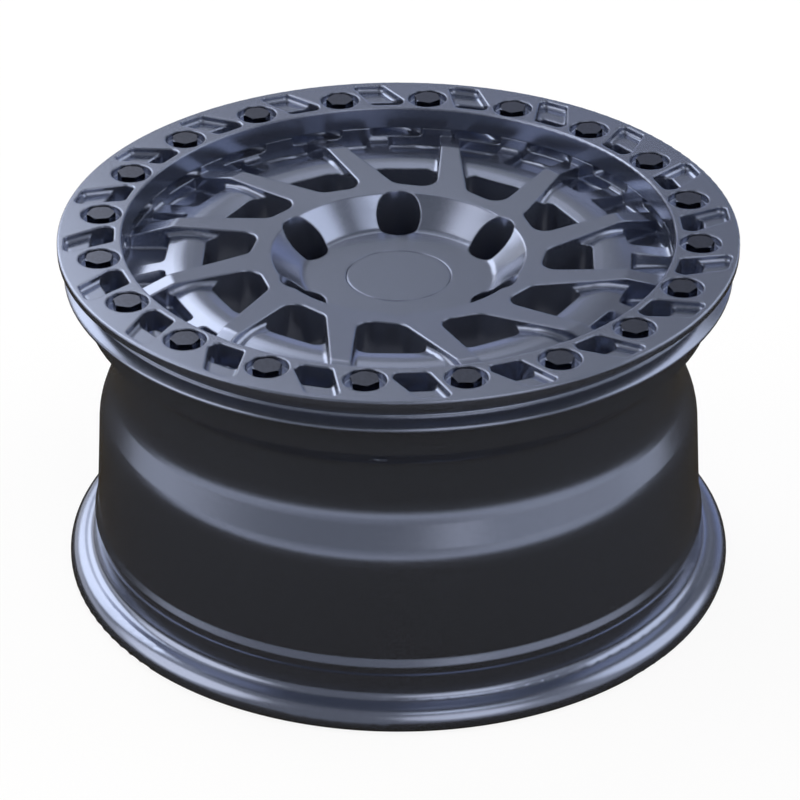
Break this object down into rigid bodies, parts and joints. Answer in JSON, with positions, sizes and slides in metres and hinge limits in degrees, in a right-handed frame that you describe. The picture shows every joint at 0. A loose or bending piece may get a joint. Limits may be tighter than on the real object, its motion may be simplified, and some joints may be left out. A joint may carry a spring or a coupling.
{
  "type": "forged wheel",
  "caption": "Forged off-road wheel with swept spokes, a dished hub and a separate bolted outer ring with slanted windows; carries a tyre on a vehicle's hub.",
  "frame": {"origin": "on the axle, in the plane that the inboard flange rests on: the middle of the box's underside", "axes": "+Z along the axle, up and outboard; +Y away from the camera that took the picture; +X to its right"},
  "size_m": [0.4389, 0.439, 0.2379],
  "materials": {
    "wheel_paint": "satin anthracite metallic paint",
    "ring_paint": "satin anthracite metallic paint",
    "bolt_black": "gloss black on steel",
    "cap_paint": "satin anthracite metallic paint on plastic",
    "spring_wire": "bright drawn wire"
  },
  "bodies": {
    "root": {"wheel_forging": "wheel_paint", "outer_ring": "ring_paint", "ring_bolts": "bolt_black", "centre_cap": "cap_paint", "cap_spring": "spring_wire"}
  },
  "joints": []
}
